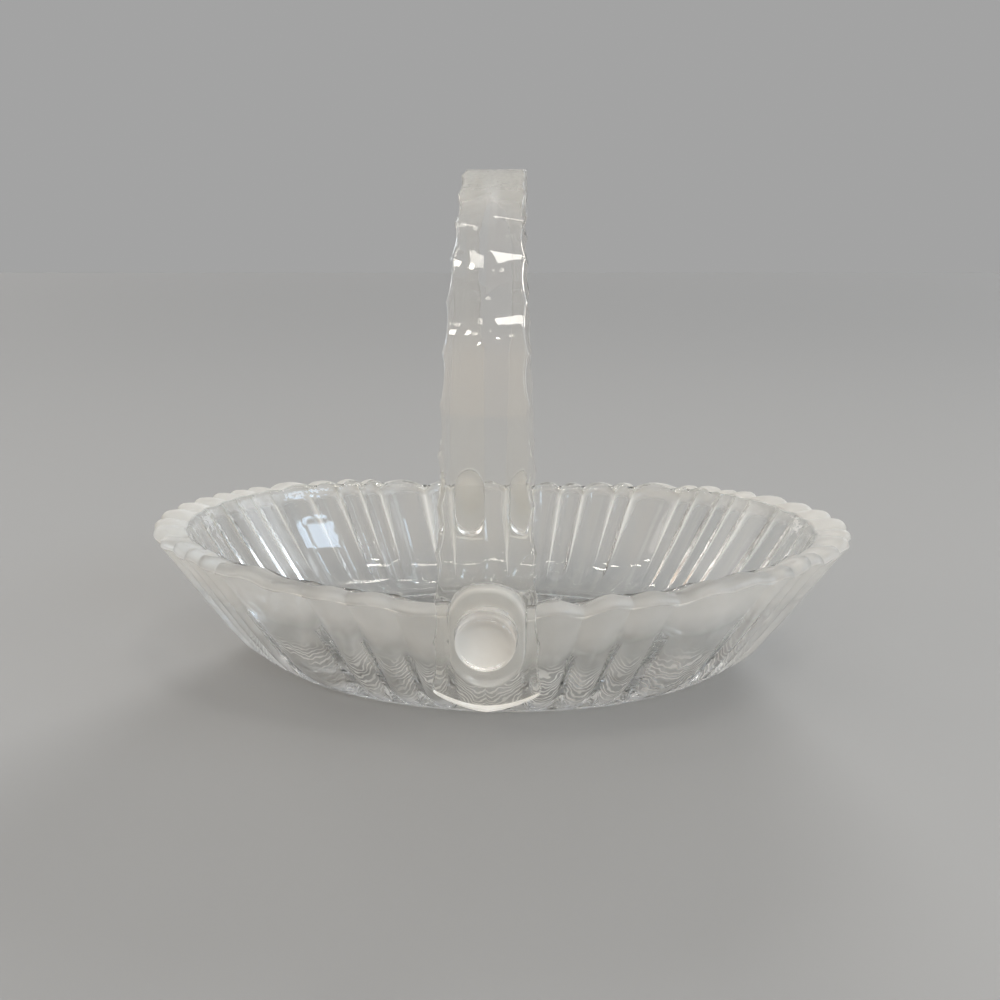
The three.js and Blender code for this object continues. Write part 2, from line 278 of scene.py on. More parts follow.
def guide_mesh(name, points):
    """A row of loose points that carries one number per point for each name."""
    mesh = bpy.data.meshes.new(name)
    mesh.from_pydata([(0, 0, 0)] * len(points), [], [])
    for key in points[0]:
        attribute = mesh.attributes.new(key, "FLOAT", "POINT")
        attribute.data.foreach_set("value", [point[key] for point in points])
    return mesh


def lofted(name, rings):
    """A closed body through rings of points of equal count, its two ends flat."""
    build = bmesh.new()
    rows = [[build.verts.new(point) for point in ring] for ring in rings]
    count = len(rows[0])
    for lower, upper in zip(rows, rows[1:]):
        for k in range(count):
            following = (k + 1) % count
            build.faces.new((lower[k], lower[following], upper[following], upper[k]))
    build.faces.new(rows[0])
    build.faces.new(rows[-1])
    bmesh.ops.recalc_face_normals(build, faces=build.faces)
    mesh = bpy.data.meshes.new(name)
    build.to_mesh(mesh)
    build.free()
    return mesh


def full_turn(count):
    """Angles of points evenly round a circle."""
    return [2 * math.pi * k / count for k in range(count)]


def quarter_turn(steps):
    """Angles along a rounded edge, both ends among them."""
    return [math.pi / 2 * step / steps for step in range(steps + 1)]


def finished_piece(name, mesh, sharp_degrees, material):
    """A shown piece at the origin, smooth apart from edges sharper than the angle."""
    mesh.name = name
    mesh.materials.clear()
    mesh.materials.append(material)
    mesh.shade_smooth()
    mesh.set_sharp_from_angle(angle=math.radians(sharp_degrees))
    piece = bpy.data.objects.new(name, mesh)
    bpy.context.scene.collection.objects.link(piece)
    return piece


def flute_columns():
    """Points round the rim: several across each flute, close together in the grooves."""
    pad_half = math.asin((PAD_WIDTH / 2 + PAD_MARGIN) / RIM_HALF_LENGTH)
    quarter = math.pi / 2 - pad_half - TIP_LOBE / 2

    def spread(shares):
        return [share / sum(shares) * quarter for share in shares]

    widths = [TIP_LOBE, *reversed(spread(BACK_RIGHT_FLUTES)), 2 * pad_half, *spread(BACK_LEFT_FLUTES)]
    widths += [TIP_LOBE, *reversed(spread(FRONT_FLUTES)), 2 * pad_half, *spread(FRONT_FLUTES)]
    columns = []
    start = -TIP_LOBE / 2
    for width in widths:
        middle = start + width / 2
        reach = math.hypot(RIM_HALF_LENGTH * math.sin(middle), RIM_HALF_WIDTH * math.cos(middle))
        depth = min(BOWL_SIZES["Flute Depth"], FLUTE_FULLNESS * width * reach)
        for step in range(STEPS_ACROSS_FLUTE):
            across = -math.cos(math.pi * step / STEPS_ACROSS_FLUTE)
            columns.append({"angle": start + width * (across + 1) / 2, "across": across, "depth": depth})
        start += width
    columns.append({**columns[0], "angle": columns[0]["angle"] + 2 * math.pi})
    return columns


def bezier(share, a, b, c, d):
    """A value on the curve from a to d that b and c pull, at a share of the way."""
    rest = 1 - share
    return rest**3 * a + rest**2 * share * (3 * b) + rest * share**2 * (3 * c) + share**3 * d


def bowl_rule(columns, material):
    """The bowl as one closed skin of bands, from the middle of the underside over the rim to the floor."""
    tree, size = rule_tree("fluted_bowl", BOWL_SIZES)
    start = Term(tree)
    index = start.node("GeometryNodeInputIndex")

    class Column:
        """One upright line of the bowl: its place round the oval and across its flute."""

        def __init__(self, angle, across, depth):
            self.angle = angle
            self.cosine = angle.maths("COSINE")
            self.sine = angle.maths("SINE")
            self.across = across
            self.depth = depth
            self.front = (self.sine * -2).clipped()
            self.lobes = 1 - (1 - size["Front Lobes"]) * self.front
            self.rounding = size["Flute Rounding At Lip"] + size["Front Softening"] * self.front
            waves = sum((angle * count + begin).maths("SINE") for count, begin in RIM_WAVES)
            uneven = size["Fire Polish"] * (WAVES_BEHIND + WAVES_MORE_IN_FRONT * self.front) * waves
            rise = size["Rim Rise"] * (1 - self.sine.maths("ABSOLUTE") ** 6)
            self.rim = size["Rim Height"] + rise + uneven
            lip_gain = size["Lip At Tips"] - size["Lip At Sides"]
            lip_width = size["Lip At Sides"] + lip_gain * self.cosine * self.cosine
            self.lip_edge = self.rim + size["Lip Upturn"] * lip_width

        def lobe(self, rounding, past_end=0.0):
            """1 on the crest of a flute, 0 in the groove and past the end of its tongue."""
            inside = 1 - self.across * self.across - past_end
            return inside.maths("MAXIMUM", 0.0) ** rounding

        def stand(self):
            """How far the lip stands out of the groove line; its lobes are lower along the front."""
            return self.depth * self.lobes * self.lobe(self.rounding)

        def drop(self):
            """How far the lip's edge lies below the tops of its lobes."""
            full = size["Lobe Rise"] / size["Flute Depth"] * self.depth * self.lobes
            return full * (1 - self.lobe(self.rounding))

        def point(self, half_length, half_width, height, outward=0.0):
            """On an oval, pushed outward square to it."""
            along = self.cosine * half_width
            aside = self.sine * half_length
            push = outward / (along * along + aside * aside).maths("SQRT")
            place = {
                "X": self.cosine * half_length + along * push,
                "Y": self.sine * half_width + aside * push,
                "Z": height,
            }
            return start.node("ShaderNodeCombineXYZ", sockets=place)

        def in_foot(self, inset, height, scale=1.0):
            half_length = (size["Foot Half Length"] - inset) * scale
            half_width = (size["Foot Half Width"] - inset) * scale
            return self.point(half_length, half_width, height)

        def on_wall(self, spread, height, outward):
            reach_x = size["Rim Half Length"] - size["Flute Depth"] - size["Foot Half Length"]
            reach_y = size["Rim Half Width"] - size["Flute Depth"] - size["Foot Half Width"]
            half_length = size["Foot Half Length"] + reach_x * spread
            half_width = size["Foot Half Width"] + reach_y * spread
            return self.point(half_length, half_width, height, outward)

        def on_plunger(self, spread):
            floor_x = size["Foot Half Length"] - size["Floor Inset At Tips"]
            floor_y = size["Foot Half Width"] - size["Floor Inset At Sides"]
            mouth_x = size["Rim Half Length"] - size["Lip At Tips"]
            mouth_y = size["Rim Half Width"] - size["Lip At Sides"]
            depth = size["Rim Height"] - size["Floor Thickness"]
            height = size["Floor Thickness"] + depth * spread ** size["Plunger Power"]
            half_length = floor_x + (mouth_x - floor_x) * spread
            half_width = floor_y + (mouth_y - floor_y) * spread
            return self.point(half_length, half_width, height)

        def mouth_spread(self):
            share = (self.rim - size["Floor Thickness"]) / (size["Rim Height"] - size["Floor Thickness"])
            return share ** (1 / size["Plunger Power"])

        def lip_top(self):
            return self.on_wall(1.0, self.lip_edge, self.stand() - size["Lip Round"])

        def round_starts(self):
            """Where the top of the lip begins to turn down into the hollow."""
            lip = self.lip_top()
            mouth = self.on_plunger(self.mouth_spread())
            length = lip.vectors("DISTANCE", mouth, output="Value")
            share = 1 - size["Mouth Round"] / length
            return lip.towards(mouth, share.maths("MAXIMUM", LEAST_LIP_FACE))

    def band(rows, place, frosting, matt):
        grid = start.node("GeometryNodeMeshGrid", sockets={"Vertices X": columns, "Vertices Y": rows})
        line = ((index + 0.5) / rows).maths("FLOOR")
        share = (index - line * rows) / (rows - 1)

        def carried(name):
            value = start.node("GeometryNodeInputNamedAttribute", sockets={"Name": name})
            sampled = {"Geometry": size["Guide"], "Value": value, "Index": line}
            return start.node("GeometryNodeSampleIndex", sockets=sampled)
        column = Column(carried("angle"), carried("across"), carried("depth"))
        placed = {"Geometry": grid, "Position": place(column, share)}
        shape = start.node("GeometryNodeSetPosition", sockets=placed)
        marks = {
            "frosting": frosting(column, share),
            "groove": column.across * column.across,
            "matt": matt(column, share),
        }
        for name, value in marks.items():
            stored = {"Geometry": shape, "Name": name, "Value": value}
            shape = start.node("GeometryNodeStoreNamedAttribute", {"data_type": "FLOAT"}, stored)
        return shape

    def across_leaf(column, share):
        """0 on the rib of a leaf, 1 on its edge and more off it."""
        turn = column.angle * size["Leaf Count"] / (2 * math.pi)
        leaf = turn.maths("FRACT") * 2 - 1
        along = ((share - LEAF_START) / LEAF_LENGTH).clipped()
        breadth = (along * math.pi).maths("SINE") ** LEAF_POINT * LEAF_BREADTH + 0.001
        return (leaf / breadth).maths("ABSOLUTE")

    def motif(column, share):
        """Long leaves round a small flower, 0 off them and 1 at their fullest."""
        across = across_leaf(column, share)
        swell = (1 - across * across).maths("MAXIMUM", 0.0) ** LEAF_SWELL * (1 - share.smooth(*LEAF_ENDS))
        rib = 1 - LEAF_RIB_CUT * (1 - across.smooth(0.0, LEAF_RIB))
        flower = share.smooth(*FLOWER_STARTS) * (1 - share.smooth(*FLOWER_ENDS)) * FLOWER_HEIGHT
        return swell * rib + flower

    def engraved_and_glinting(column, share):
        """The ribs and edges of the leaves are matt, partly as a painted highlight of the light their relief
        catches; the rest of them clear.
        """
        across = across_leaf(column, share)
        rib = 1 - across.smooth(*RIB_MATT_AND_GLINT)
        edge = across.smooth(*EDGE_MATT_AND_GLINT_STARTS) * (1 - across.smooth(*EDGE_MATT_AND_GLINT_ENDS))
        return (rib + edge) * share.smooth(*MATT_AND_GLINT_STARTS) * (1 - share.smooth(*MATT_AND_GLINT_ENDS))

    def underside(column, share):
        height = size["Foot Recess"] + size["Leaf Depth"] * motif(column, share)
        return column.in_foot(size["Foot Ring"] + size["Recess Draft"], height, share)

    def recess_side(column, share):
        rest = 1 - share
        return column.in_foot(size["Foot Ring"] + size["Recess Draft"] * rest, size["Foot Recess"] * rest)

    def foot_face(column, share):
        return column.in_foot(size["Foot Ring"] + (size["Foot Round"] - size["Foot Ring"]) * share, 0.0)

    def foot_edge(column, share):
        turn = share * (math.pi / 2)
        height = column.lip_edge * WALL_SHARE[0] * (1 - turn.maths("COSINE"))
        return column.in_foot(size["Foot Round"] * (1 - turn.maths("SINE")), height)

    def wall(column, share):
        """Flutes with round tongue ends below; along the front they grow lower towards the lip."""
        level = bezier(share, *WALL_SHARE)
        height = column.lip_edge * level
        past_end = ((size["Tongue Height"] - height) / size["Tongue Round"]).maths("MAXIMUM", 0.0)
        soften = size["Flute Rounding On Wall"] - size["Flute Rounding At Lip"]
        rounding = size["Flute Rounding At Lip"] + soften * (level * math.pi).maths("SINE")
        lobes = 1 + (column.lobes - 1) * level ** 3
        stand = column.depth * column.lobe(rounding, past_end * past_end) * lobes
        return column.on_wall(bezier(share, *WALL_SPREAD), height, stand)

    def flare(column, share):
        """From the wall up to the edge of the lip, in one turn."""
        climb = (1 - WALL_SPREAD[3]) * (WALL_SHARE[3] - WALL_SHARE[2])
        ease = WALL_SHARE[3] + climb / (WALL_SPREAD[3] - WALL_SPREAD[2])
        rest = 1 - share
        top = column.lip_edge - size["Lip Round"] - column.drop()
        below = rest * rest * WALL_SHARE[3] * column.lip_edge
        between = rest * share * (2 * ease) * column.lip_edge
        height = below + between + share * share * top
        spread = 1 - rest * rest * (1 - WALL_SPREAD[3])
        gain = size["Flute Rounding On Wall"] - size["Flute Rounding At Lip"]
        at_wall = size["Flute Rounding At Lip"] + gain * math.sin(math.pi * WALL_SHARE[3])
        rounding = at_wall * rest + column.rounding * share
        lobes = 1 + (column.lobes - 1) * (WALL_SHARE[3] ** 3 * rest + share)
        return column.on_wall(spread, height, column.depth * lobes * column.lobe(rounding))

    def lip_edge(column, share):
        turn = share * (math.pi / 2)
        height = column.lip_edge - column.drop() - size["Lip Round"] * (1 - turn.maths("SINE"))
        return column.on_wall(1.0, height, column.stand() - size["Lip Round"] * (1 - turn.maths("COSINE")))

    def lip_face(column, share):
        """Each lobe swells to a petal, and the fire has left the glass a little uneven."""
        level = column.lip_top().towards(column.round_starts(), share)
        pattern = {"Vector": level, "Scale": FIRE_PATTERN, "Detail": 1.0}
        uneven = start.node("ShaderNodeTexNoise", sockets=pattern)
        swell = size["Petal Swell"] / size["Flute Depth"] * column.stand()
        lift = (swell + size["Fire Polish"] * (uneven - 0.5)) * 4 * share * (1 - share)
        lift = lift - column.drop() * (1 - share ** 3)
        return level.vectors("ADD", start.node("ShaderNodeCombineXYZ", sockets={"Z": lift}))

    def mouth_edge(column, share):
        mouth = column.on_plunger(column.mouth_spread())
        below = column.on_plunger(column.mouth_spread() * MOUTH_TURN)
        return column.round_starts().towards(mouth, share).towards(mouth.towards(below, share), share)

    def hollow(column, share):
        return column.on_plunger(column.mouth_spread() * MOUTH_TURN * (1 - share))

    def floor(column, share):
        half_length = size["Foot Half Length"] - size["Floor Inset At Tips"]
        half_width = size["Foot Half Width"] - size["Floor Inset At Sides"]
        return column.point(half_length * (1 - share), half_width * (1 - share), size["Floor Thickness"])

    def bare(column, share):
        return 0.0

    def etched(column, share):
        return 1.0

    def etched_edge(column, share):
        """Along the front the fire has half cleared the lip's edge again."""
        return 1 - column.front * CLEARED_IN_FRONT

    def etched_lobes(column, share):
        """The etching covers the whole lip at the tips, and only its outer part along the sides."""
        edge = column.cosine * column.cosine * ETCHED_MORE_AT_TIPS + ETCHED_AT_SIDES
        return etched_edge(column, share) * (1 - share.smooth(edge, edge + ETCHING_FADES))

    # Rows of points in each band, its place, and how far it is etched and engraved; on the leaves the
    # engraving is partly a painted highlight
    bands = [
        (64, underside, bare, engraved_and_glinting),
        (3, recess_side, bare, bare),
        (3, foot_face, bare, bare),
        (5, foot_edge, bare, bare),
        (30, wall, etched, bare),
        (6, flare, etched, bare),
        (6, lip_edge, etched_edge, bare),
        (11, lip_face, etched_lobes, bare),
        (5, mouth_edge, bare, bare),
        (26, hollow, bare, bare),
        (5, floor, bare, bare),
    ]
    close_rule(tree, [band(*parts) for parts in bands], material)
    return tree


def pad_mesh(facing):
    """Flat pad with round ends behind one leg of the handle; facing is -1 in front, 1 behind."""
    reach = PAD_WIDTH / 2
    lower = peg_height - PAD_BELOW_PEG + reach
    upper = pad_top - reach
    turns = [math.pi * k / PAD_END_STEPS for k in range(PAD_END_STEPS + 1)]

    def ring(inset, depth):
        radius = reach - inset
        top = [(radius * math.cos(t), facing * depth, upper + radius * math.sin(t)) for t in turns]
        bottom = [(-x, y, lower - (z - upper)) for x, y, z in top]
        return top + bottom
    rings = [ring(0, BOWL_SIZES["Foot Half Width"])]
    for turn in quarter_turn(PAD_ROUND_STEPS):
        rings.append(ring(PAD_ROUND * (1 - math.cos(turn)), pad_face - PAD_ROUND * (1 - math.sin(turn))))
    mesh = lofted("pad", rings)
    for name, value in PAD_FINISH.items():
        attribute = mesh.attributes.new(name, "FLOAT", "POINT")
        attribute.data.foreach_set("value", [value] * len(mesh.vertices))
    return mesh


def hollow_mesh(buried, flush):
    """What the pads may not reach into: the hollow, larger by buried below the rim and by flush above it."""
    floor_x = BOWL_SIZES["Foot Half Length"] - BOWL_SIZES["Floor Inset At Tips"]
    floor_y = BOWL_SIZES["Foot Half Width"] - BOWL_SIZES["Floor Inset At Sides"]
    mouth_x = RIM_HALF_LENGTH - BOWL_SIZES["Lip At Tips"]
    mouth_y = RIM_HALF_WIDTH - BOWL_SIZES["Lip At Sides"]
    thickness = BOWL_SIZES["Floor Thickness"]
    over_floor = 0.002
    over_pad = 0.005
    under_rim = 0.0015
    steps_up = 59
    points_round = 240
    turns = full_turn(points_round)
    rings = []
    for step in range(steps_up + 1):
        height = thickness + over_floor + (pad_top + over_pad - thickness) * step / steps_up
        spread = ((height - thickness) / (RIM_HEIGHT - thickness)) ** (1 / BOWL_SIZES["Plunger Power"])
        grow = buried if height < RIM_HEIGHT - under_rim else flush
        half_length = floor_x + (mouth_x - floor_x) * spread + grow
        half_width = floor_y + (mouth_y - floor_y) * spread + grow
        rings.append([(half_length * math.cos(t), half_width * math.sin(t), height) for t in turns])
    return lofted("hollow", rings)


def shader(name):
    """A new material, as its tree's first term and a function that gives it its surface."""
    material = bpy.data.materials.new(name)
    material.use_nodes = True
    material.node_tree.nodes.clear()
    start = Term(material.node_tree)

    def surface(term, lets_through=0.0):
        """With lets_through, lamp light passes the surface, as it does through glass."""
        if lets_through:
            shadow = start.node("ShaderNodeLightPath", output="Is Shadow Ray")
            tint = (lets_through, lets_through, lets_through, 1)
            passing = start.node("ShaderNodeBsdfTransparent", sockets={"Color": tint})
            term = start.node("ShaderNodeMixShader", sockets={0: shadow, 1: term, 2: passing})
        output = material.node_tree.nodes.new("ShaderNodeOutputMaterial")
        material.node_tree.links.new(term.socket, output.inputs["Surface"])
    return material, start, surface


GLASS_IOR = 1.5
BOWL_LETS_THROUGH = 0.36
FAINT_MILK = (0.86, 0.85, 0.81, 1)
MEAN_MILK = (0.9, 0.89, 0.855, 1)
FULL_MILK = (0.94, 0.93, 0.9, 1)
CLEAR_GLASS = (0.93, 0.94, 0.935, 1)

# Where the etching of the wall starts and is full, and how far that moves in places
ETCHING_HEIGHT = (0.03, 0.052)
LIP_HEIGHT = (0.05, 0.056)
BEHIND = (-0.02, 0.03)
BESIDE_HANDLE = (0.018, 0.06)
LOWER_BESIDE_HANDLE = 0.012
LOWER_IN_GROOVES_BEHIND = 0.021
# Painted shade: in front the etching stops this much higher in the grooves, so they read as darker lines
GROOVE_SHADE_IN_FRONT = 0.003
HIGHER_ON_FLUTES_BEHIND = 0.008
RAGGED_EDGE = 0.012
ETCHING = 0.88
ETCHING_LOST_BEHIND = 0.84
ENGRAVING_AND_GLINT = 0.85

# The milky ends of the tongues and the flow lines in them
TONGUE_EDGE = (0.15, 0.5)
TONGUE_MILK = 0.34
TONGUE_MILK_LOST_BEHIND = 0.24
LINES_START = (0.006, 0.012)
LINES_END = (0.024, 0.034)
LINES_ASIDE = (0.08, 0.105)
LINES_PACE = 3000
LINES_SAG = 0.007
LINES_SWIRL = 32
LINES_TREMBLE = 9
STREAK_EDGE = (0.5, 0.95)
STREAK_PATCHES = (0.34, 0.54)
STREAK_MILK = 0.55


def satin_glass():
    """Clear pressed glass under an etching that is full at the lip and gone towards the foot."""
    material, start, surface = shader("satin_glass")
    place = start.node("ShaderNodeTexCoord", output="Object")
    z = start.node("ShaderNodeSeparateXYZ", sockets={0: place}, output="Z")
    aside = z.beside("X").maths("ABSOLUTE")

    def noise(scale, detail, distortion=0.0):
        return start.node("ShaderNodeTexNoise", sockets={
            "Vector": place, "Scale": scale, "Detail": detail, "Distortion": distortion,
        })

    def carried(name):
        return start.node("ShaderNodeAttribute", {"attribute_name": name}, output="Fac")

    # The etching fades downward. Behind it stays longest in the grooves between the flutes, and it reaches
    # further down beside the handle. In front it stops higher in the grooves, which paints them clearer and
    # darker as painted shade of the flutes' relief
    frosting = carried("frosting")
    across = carried("groove")
    matt = carried("matt")
    groove = across * across
    beside_handle = 1 - aside.smooth(*BESIDE_HANDLE)
    in_lip = z.smooth(*LIP_HEIGHT)
    back = z.beside("Y").smooth(*BEHIND) * (1 - in_lip)
    in_grooves = groove * (back * LOWER_IN_GROOVES_BEHIND - GROOVE_SHADE_IN_FRONT)
    shift = in_grooves - back * (1 - groove) * HIGHER_ON_FLUTES_BEHIND + beside_handle * LOWER_BESIDE_HANDLE
    height = z + shift + (noise(45.0, 2.0) - 0.5) * RAGGED_EDGE
    upper = frosting * height.smooth(*ETCHING_HEIGHT) * (ETCHING - back * ETCHING_LOST_BEHIND * (1 - groove))

    # Below that the round ends of the tongues are milky, with flow lines, and the gaps between them clear
    past_end = ((BOWL_SIZES["Tongue Height"] - z) / BOWL_SIZES["Tongue Round"]).maths("MAXIMUM", 0.0)
    tongue = (1 - across - past_end * past_end).smooth(*TONGUE_EDGE) * frosting
    swirl = noise(105.0, 2.0) * LINES_SWIRL + noise(240.0, 1.0) * LINES_TREMBLE
    flow = ((z - across * LINES_SAG) * LINES_PACE + swirl).maths("SINE") * 0.5 + 0.5
    in_front = (1 - back) * (1 - aside.smooth(*LINES_ASIDE))
    lines = tongue * z.smooth(*LINES_START) * (1 - z.smooth(*LINES_END)) * in_front
    streaks = lines * flow.smooth(*STREAK_EDGE) * noise(38.0, 1.0).smooth(*STREAK_PATCHES)
    lower = tongue * (TONGUE_MILK - back * TONGUE_MILK_LOST_BEHIND) + streaks * STREAK_MILK
    # The matt marks etch the pads, and on the leaves' ribs and edges they are partly a painted highlight of
    # the light the relief catches
    etched = upper.maths("MAXIMUM", lower).maths("MAXIMUM", matt.smooth(0.05, 0.5) * ENGRAVING_AND_GLINT)

    # Fine tooth of the etching, slow ripple of the pressed glass, and a wavier lip where the fire has run
    tooth = noise(2600.0, 3.0)
    toothed = start.node("ShaderNodeBump", sockets={"Strength": 0.12, "Distance": 0.0002, "Height": tooth})
    waves = noise(70.0, 1.0, 0.8) * z.smooth(0.003, 0.014) * 0.6 + flow * lines * 0.15
    waves = waves + noise(170.0, 1.0, 1.5) * in_lip
    rippled = start.node("ShaderNodeBump", sockets={"Strength": 0.3, "Distance": 0.0008, "Height": waves})

    cloud = noise(90.0, 3.0)
    milky = start.node("ShaderNodeValToRGB", {"stops": ((0.3, FAINT_MILK), (0.7, FULL_MILK))}, {"Fac": cloud})
    satin = start.node("ShaderNodeBsdfPrincipled", sockets={
        "Base Color": milky,
        "Roughness": 0.42 + cloud * 0.16,
        "IOR": GLASS_IOR,
        "Transmission Weight": 0.6,
        "Normal": toothed,
    })
    clear = start.node("ShaderNodeBsdfPrincipled", sockets={
        "Base Color": CLEAR_GLASS,
        "Roughness": 0.008 + cloud * 0.02,
        "IOR": GLASS_IOR,
        "Transmission Weight": 1.0,
        "Normal": rippled,
    })
    white = start.node("ShaderNodeBsdfPrincipled", sockets={
        "Base Color": milky,
        "Roughness": 0.5 + cloud * 0.1,
        "Transmission Weight": 0.1,
        "Normal": toothed,
    })
    through = start.node("ShaderNodeBsdfTranslucent", sockets={"Color": MEAN_MILK, "Normal": toothed})
    milk = start.node("ShaderNodeMixShader", sockets={0: 0.78, 1: white, 2: through})
    # Painted glow: the etched grooves behind get far more milk than those in front, so the back light shines
    # white through them
    milk_share_with_glow_behind = groove * (0.15 + back * 0.7) + 0.1 + streaks * 0.6
    frosted = start.node("ShaderNodeMixShader", sockets={0: milk_share_with_glow_behind, 1: satin, 2: milk})
    surface(start.node("ShaderNodeMixShader", sockets={0: etched, 1: clear, 2: frosted}), BOWL_LETS_THROUGH)
    return material


PAD_BURIED = 0.002
PAD_FLUSH = 0.0003
BOWL_SHARP = 38
satin = satin_glass()
columns = flute_columns()
bowl_mesh = shaped(bowl_rule(len(columns), satin), guide_mesh("flute_columns", columns), BOWL_SIZES)
kept_free = hollow_mesh(PAD_BURIED, PAD_FLUSH)
for facing in (-1, 1):
    pad = combined(pad_mesh(facing), kept_free, "DIFFERENCE")
    bowl_mesh = combined(bowl_mesh, pad, "UNION")
bowl = finished_piece("fluted_glass_bowl", bowl_mesh, BOWL_SHARP, satin)
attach(bowl, "bowl")
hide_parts("glass_bowl")


# The pegs are two short clear glass studs, cemented to the pads, and the strap's holes turn on them. Their
# fronts are fire polished and slightly domed. The face set on the pad is ground, so they look milky.

PEG_ROUND = 0.0022
PEG_DOME = 0.0012
PEG_SEAT = 0.00006
PEG_CHAMFER = 0.0004
PEG_ROUND_STEPS = 8
PEG_DOME_STEPS = 12
PEG_POINTS = 96
PEG_SHARP = 50
PEG_GROUND_ENDS = (pad_face + 0.0006, pad_face + 0.0012)
PEG_LETS_THROUGH = 0.9
PEG_CLEAR = (0.985, 0.99, 0.985, 1)
PEG_MILKY = (0.82, 0.8, 0.76, 1)
peg_radius = (peg_high.x - peg_low.x) / 2
peg_front = -peg_low.y


def peg_mesh(facing):
    """A stud turned round its axis, from the chamfer on the pad to its domed front; facing as for a pad."""
    seat = pad_face + PEG_SEAT
    profile = [(peg_radius - PEG_CHAMFER, seat), (peg_radius, seat + PEG_CHAMFER)]
    for turn in quarter_turn(PEG_ROUND_STEPS):
        out = peg_front - PEG_DOME - PEG_ROUND * (1 - math.sin(turn))
        profile.append((peg_radius - PEG_ROUND * (1 - math.cos(turn)), out))
    flat = peg_radius - PEG_ROUND
    for step in range(1, PEG_DOME_STEPS):
        share = 1 - step / PEG_DOME_STEPS
        profile.append((flat * share, peg_front - PEG_DOME * share * share))
    turns = full_turn(PEG_POINTS)
    return lofted("peg", [
        [(radius * math.cos(t), facing * out, peg_height + radius * math.sin(t)) for t in turns]
        for radius, out in profile
    ])


def peg_glass():
    """Clear polished glass with a milky ground back."""
    material, start, surface = shader("peg_glass")
    place = start.node("ShaderNodeTexCoord", output="Object")
    y = start.node("ShaderNodeSeparateXYZ", sockets={0: place}, output="Y")
    ground = 1 - y.maths("ABSOLUTE").smooth(*PEG_GROUND_ENDS)
    grain = start.node("ShaderNodeTexNoise", sockets={"Vector": place, "Scale": 900.0, "Detail": 2.0})
    bumped = start.node("ShaderNodeBump", sockets={"Strength": 0.1, "Distance": 0.0003, "Height": grain})
    clear = start.node("ShaderNodeBsdfPrincipled", sockets={
        "Base Color": PEG_CLEAR,
        "Roughness": 0.02 + grain * 0.02,
        "IOR": GLASS_IOR,
        "Transmission Weight": 1.0,
    })
    frosted = start.node("ShaderNodeBsdfPrincipled", sockets={
        "Base Color": PEG_MILKY,
        "Roughness": 0.4 + grain * 0.2,
        "IOR": GLASS_IOR,
        "Transmission Weight": 0.3,
        "Normal": bumped,
    })
    surface(start.node("ShaderNodeMixShader", sockets={0: ground, 1: clear, 2: frosted}), PEG_LETS_THROUGH)
    return material


polished = peg_glass()
for facing, node, name in ((-1, "front_peg", "front_handle_peg"), (1, "rear_peg", "rear_handle_peg")):
    peg = finished_piece(name, peg_mesh(facing), PEG_SHARP, polished)
    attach(peg, "bowl")
    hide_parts(node)


# The carry handle is a moulded strap of clear acrylic, flat inside and ridged outside, with scalloped edges
# and a bowed cut at each end. It is sprung over the pegs by a round hole in each leg and turns on them.

strap_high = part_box("carry_handle")[1]
HALF_STRAP = 0.003
STRAP_SIZES = {
    "Arch Radius": strap_high.y - HALF_STRAP,
    "Arch Height": strap_high.z - strap_high.y,
    "Width At Crest": 0.0229,
    "Width At End": 0.0391,
    "Taper Start": 0.065,
    "Bump Pitch": 0.0162,
    "Scallop Depth": 0.001,
    "Ridge": 0.006,
    "Flat Crest": 0.018,
    "Full Ridge": 0.056,
}
STRAP_EDGE = 0.0032
STRAP_ROUND = 0.0009
FACET_HOLLOW = 0.0003
END_BELOW_PEG = 0.0209
END_BOW = 0.0061
HOLE_CLEARANCE = 0.0005
CUT_ROOM = 0.005
STEPS_PER_BUMP = 20
ROUND_STEPS = 4
FACET_STEPS = 12
INSIDE_STEPS = 14
BOW_STEPS = 48
STRAP_SHARP = 18
end_radius = ((STRAP_SIZES["Width At End"] / 2) ** 2 + END_BOW**2) / (2 * END_BOW)
end_low = peg_height - END_BELOW_PEG - END_BOW
leg_length = STRAP_SIZES["Arch Height"] - peg_height + END_BELOW_PEG + END_BOW + CUT_ROOM
full_length = STRAP_SIZES["Arch Radius"] * math.pi / 2 + leg_length


def strap_section():
    """Points round the strap's section: share of the half width and offset from it, height over the inner
    face, and rise, which is what the flat crest adds to the height.
    """
    ridge = STRAP_SIZES["Ridge"]
    right = []
    for turn in quarter_turn(ROUND_STEPS):
        inset = -STRAP_ROUND * (1 - math.sin(turn))
        right.append((1.0, inset, STRAP_ROUND * (1 - math.cos(turn)), 0.0))
    for turn in quarter_turn(ROUND_STEPS):
        height = STRAP_EDGE - STRAP_ROUND * (1 - math.sin(turn))
        right.append((1.0, -STRAP_ROUND * (1 - math.cos(turn)), height, ridge - STRAP_EDGE))
    for step in range(1, FACET_STEPS):
        share = 1 - step / FACET_STEPS
        height = STRAP_EDGE + (ridge - STRAP_EDGE) * (1 - share) - FACET_HOLLOW * 4 * share * (1 - share)
        right.append((share, 0.0, height, ridge - height))
    left = [(-share, -offset, height, rise) for share, offset, height, rise in reversed(right)]
    inside = [(-1 + 2 * step / INSIDE_STEPS, 0.0, 0.0, 0.0) for step in range(1, INSIDE_STEPS)]
    points = [*right, (0.0, 0.0, ridge, 0.0), *left, *inside]
    return [dict(zip(("share", "offset", "height", "rise"), point)) for point in points]


